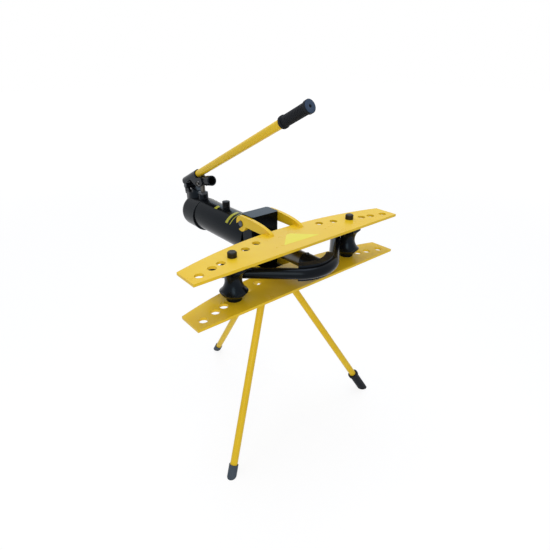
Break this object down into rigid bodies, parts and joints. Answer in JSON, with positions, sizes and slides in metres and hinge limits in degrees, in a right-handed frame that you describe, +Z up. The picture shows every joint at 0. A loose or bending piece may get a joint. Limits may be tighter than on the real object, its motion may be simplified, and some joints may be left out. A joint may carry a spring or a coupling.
{
  "type": "hydraulic pipe bender",
  "caption": "Tripod-mounted hydraulic pipe bender: hooked wing plates with pin holes, grooved shoes, a ram with its former and bent pipe, and a hand pump.",
  "frame": {"origin": "on the floor, below the middle of the whole part", "axes": "+X along the wing plates, +Y from the bend back to the pump, +Z up"},
  "size_m": [0.8, 0.8243, 1.1371],
  "materials": {
    "yellow_enamel": "gloss yellow machine enamel",
    "black_enamel": "gloss black enamel over cast and turned steel",
    "black_plastic": "moulded black plastic",
    "black_rubber": "moulded black rubber",
    "bright_steel": "ground steel, oiled",
    "zinc_steel": "dull zinc-plated steel",
    "dark_steel": "oil-blackened steel",
    "black_pipe": "mill-black lacquered pipe"
  },
  "bodies": {
    "frame": {"upper_plate": "yellow_enamel", "lower_plate": "yellow_enamel", "upper_lugs": "yellow_enamel", "lower_lugs": "yellow_enamel", "head_block": "black_enamel", "hook_studs": "zinc_steel", "gland_bush": "bright_steel", "gland_nut": "black_enamel", "rod_wiper": "black_rubber", "reservoir_tube": "black_enamel", "pressure_tube": "bright_steel", "tube_gaskets": "black_rubber", "pump_body": "black_enamel", "plunger_gland": "zinc_steel", "plunger_seal": "black_rubber", "fulcrum_pin": "zinc_steel", "check_balls": "bright_steel", "valve_plugs": "zinc_steel", "return_spring": "bright_steel", "tripod_head": "black_enamel", "tripod_bolts": "zinc_steel", "left_leg": "yellow_enamel", "right_leg": "yellow_enamel", "rear_leg": "yellow_enamel", "left_foot": "black_rubber", "right_foot": "black_rubber", "rear_foot": "black_rubber"},
    "ram": {"ram_rod": "bright_steel", "piston": "bright_steel", "piston_seal": "black_rubber", "former": "black_enamel", "former_pin": "zinc_steel", "pipe": "black_pipe"},
    "handle": {"lever": "black_enamel", "handle_tube": "yellow_enamel", "handle_grip": "black_rubber", "lock_screw": "zinc_steel"},
    "plunger": {"plunger": "bright_steel", "cross_pin": "bright_steel"},
    "release_valve": {"release_stem": "bright_steel", "release_knob": "black_plastic"},
    "filler": {"filler_plug": "black_plastic"},
    "left_shoe": {"left_shoe": "black_enamel"},
    "right_shoe": {"right_shoe": "black_enamel"},
    "left_pin": {"left_pin": "dark_steel"},
    "right_pin": {"right_pin": "dark_steel"}
  },
  "joints": [
    {"name": "ram_slide", "type": "slide", "parent": "frame", "child": "ram", "axis": [0, 1, 0], "range_m": [0, 0.155], "deforming": ["return_spring"]},
    {"name": "handle_swing", "type": "hinge", "parent": "frame", "child": "handle", "pos_m": [0, 0.36614, 0.7705], "axis": [1, 0, 0], "range_deg": [-10, 16]},
    {"name": "plunger_stroke", "type": "slide", "parent": "frame", "child": "plunger", "axis": [0, 0, 1], "range_m": [-0.028, 0.018]},
    {"name": "release_turn", "type": "hinge", "parent": "frame", "child": "release_valve", "pos_m": [0.08, 0.32614, 0.678], "axis": [1, 0, 0], "range_deg": [0, 360]},
    {"name": "filler_turn", "type": "hinge", "parent": "frame", "child": "filler", "pos_m": [0, 0.11214, 0.74], "axis": [0, 0, 1], "continuous": true},
    {"name": "left_shoe_turn", "type": "hinge", "parent": "frame", "child": "left_shoe", "pos_m": [-0.2385, -0.27589, 0.6775], "axis": [0, 0, 1], "continuous": true},
    {"name": "right_shoe_turn", "type": "hinge", "parent": "frame", "child": "right_shoe", "pos_m": [0.2385, -0.27589, 0.6775], "axis": [0, 0, 1], "continuous": true},
    {"name": "left_pin_lift", "type": "slide", "parent": "frame", "child": "left_pin", "axis": [0, 0, 1], "range_m": [0, 0.15]},
    {"name": "right_pin_lift", "type": "slide", "parent": "frame", "child": "right_pin", "axis": [0, 0, 1], "range_m": [0, 0.15]}
  ],
  "couplings": [
    {"joint": "plunger_stroke", "follows": "handle_swing", "m_per_rad": -0.099}
  ]
}
